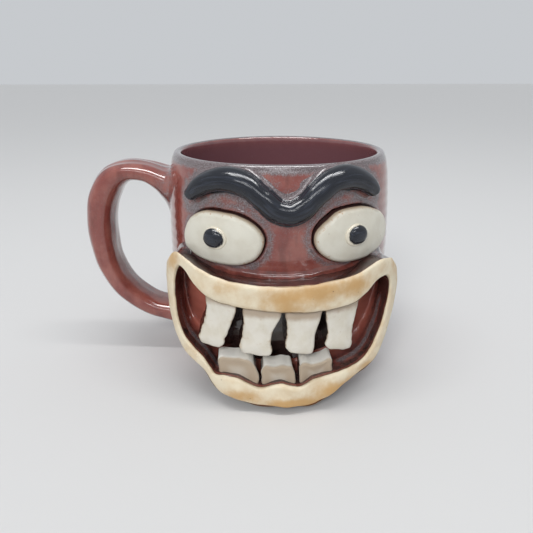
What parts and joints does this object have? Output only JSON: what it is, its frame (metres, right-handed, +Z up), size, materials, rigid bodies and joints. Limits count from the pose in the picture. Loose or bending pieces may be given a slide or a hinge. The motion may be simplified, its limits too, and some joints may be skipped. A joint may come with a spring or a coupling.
{
  "type": "face mug",
  "caption": "Hand-built stoneware face mug with a grimacing mouth, oval eyes, a V-shaped brow and a strap handle.",
  "frame": {"origin": "centre of the flat base, on the cup's axis", "axes": "+Z up along the cup's axis; -X towards the handle; the face looks along -Y, turned 4.5 degrees towards +X"},
  "size_m": [0.1423, 0.1149, 0.098],
  "materials": {
    "red_glaze": "glossy iron-red stoneware glaze breaking dark in its creases",
    "black_glaze": "glossy blue-black brushed glaze",
    "eye_slip": "smooth satin off-white slip",
    "tooth_slip": "matte white clay",
    "bare_clay": "satin cream clay with toasted patches"
  },
  "bodies": {
    "root": {"cup_body": "red_glaze", "handle": "red_glaze", "eyebrow": "black_glaze", "left_eye": "eye_slip", "right_eye": "eye_slip", "left_pupil": "black_glaze", "right_pupil": "black_glaze", "upper_lip": "bare_clay", "lower_lip": "bare_clay", "upper_tooth_1": "tooth_slip", "upper_tooth_2": "tooth_slip", "upper_tooth_3": "tooth_slip", "upper_tooth_4": "tooth_slip", "lower_tooth_1": "tooth_slip", "lower_tooth_2": "tooth_slip", "lower_tooth_3": "tooth_slip"}
  },
  "joints": []
}
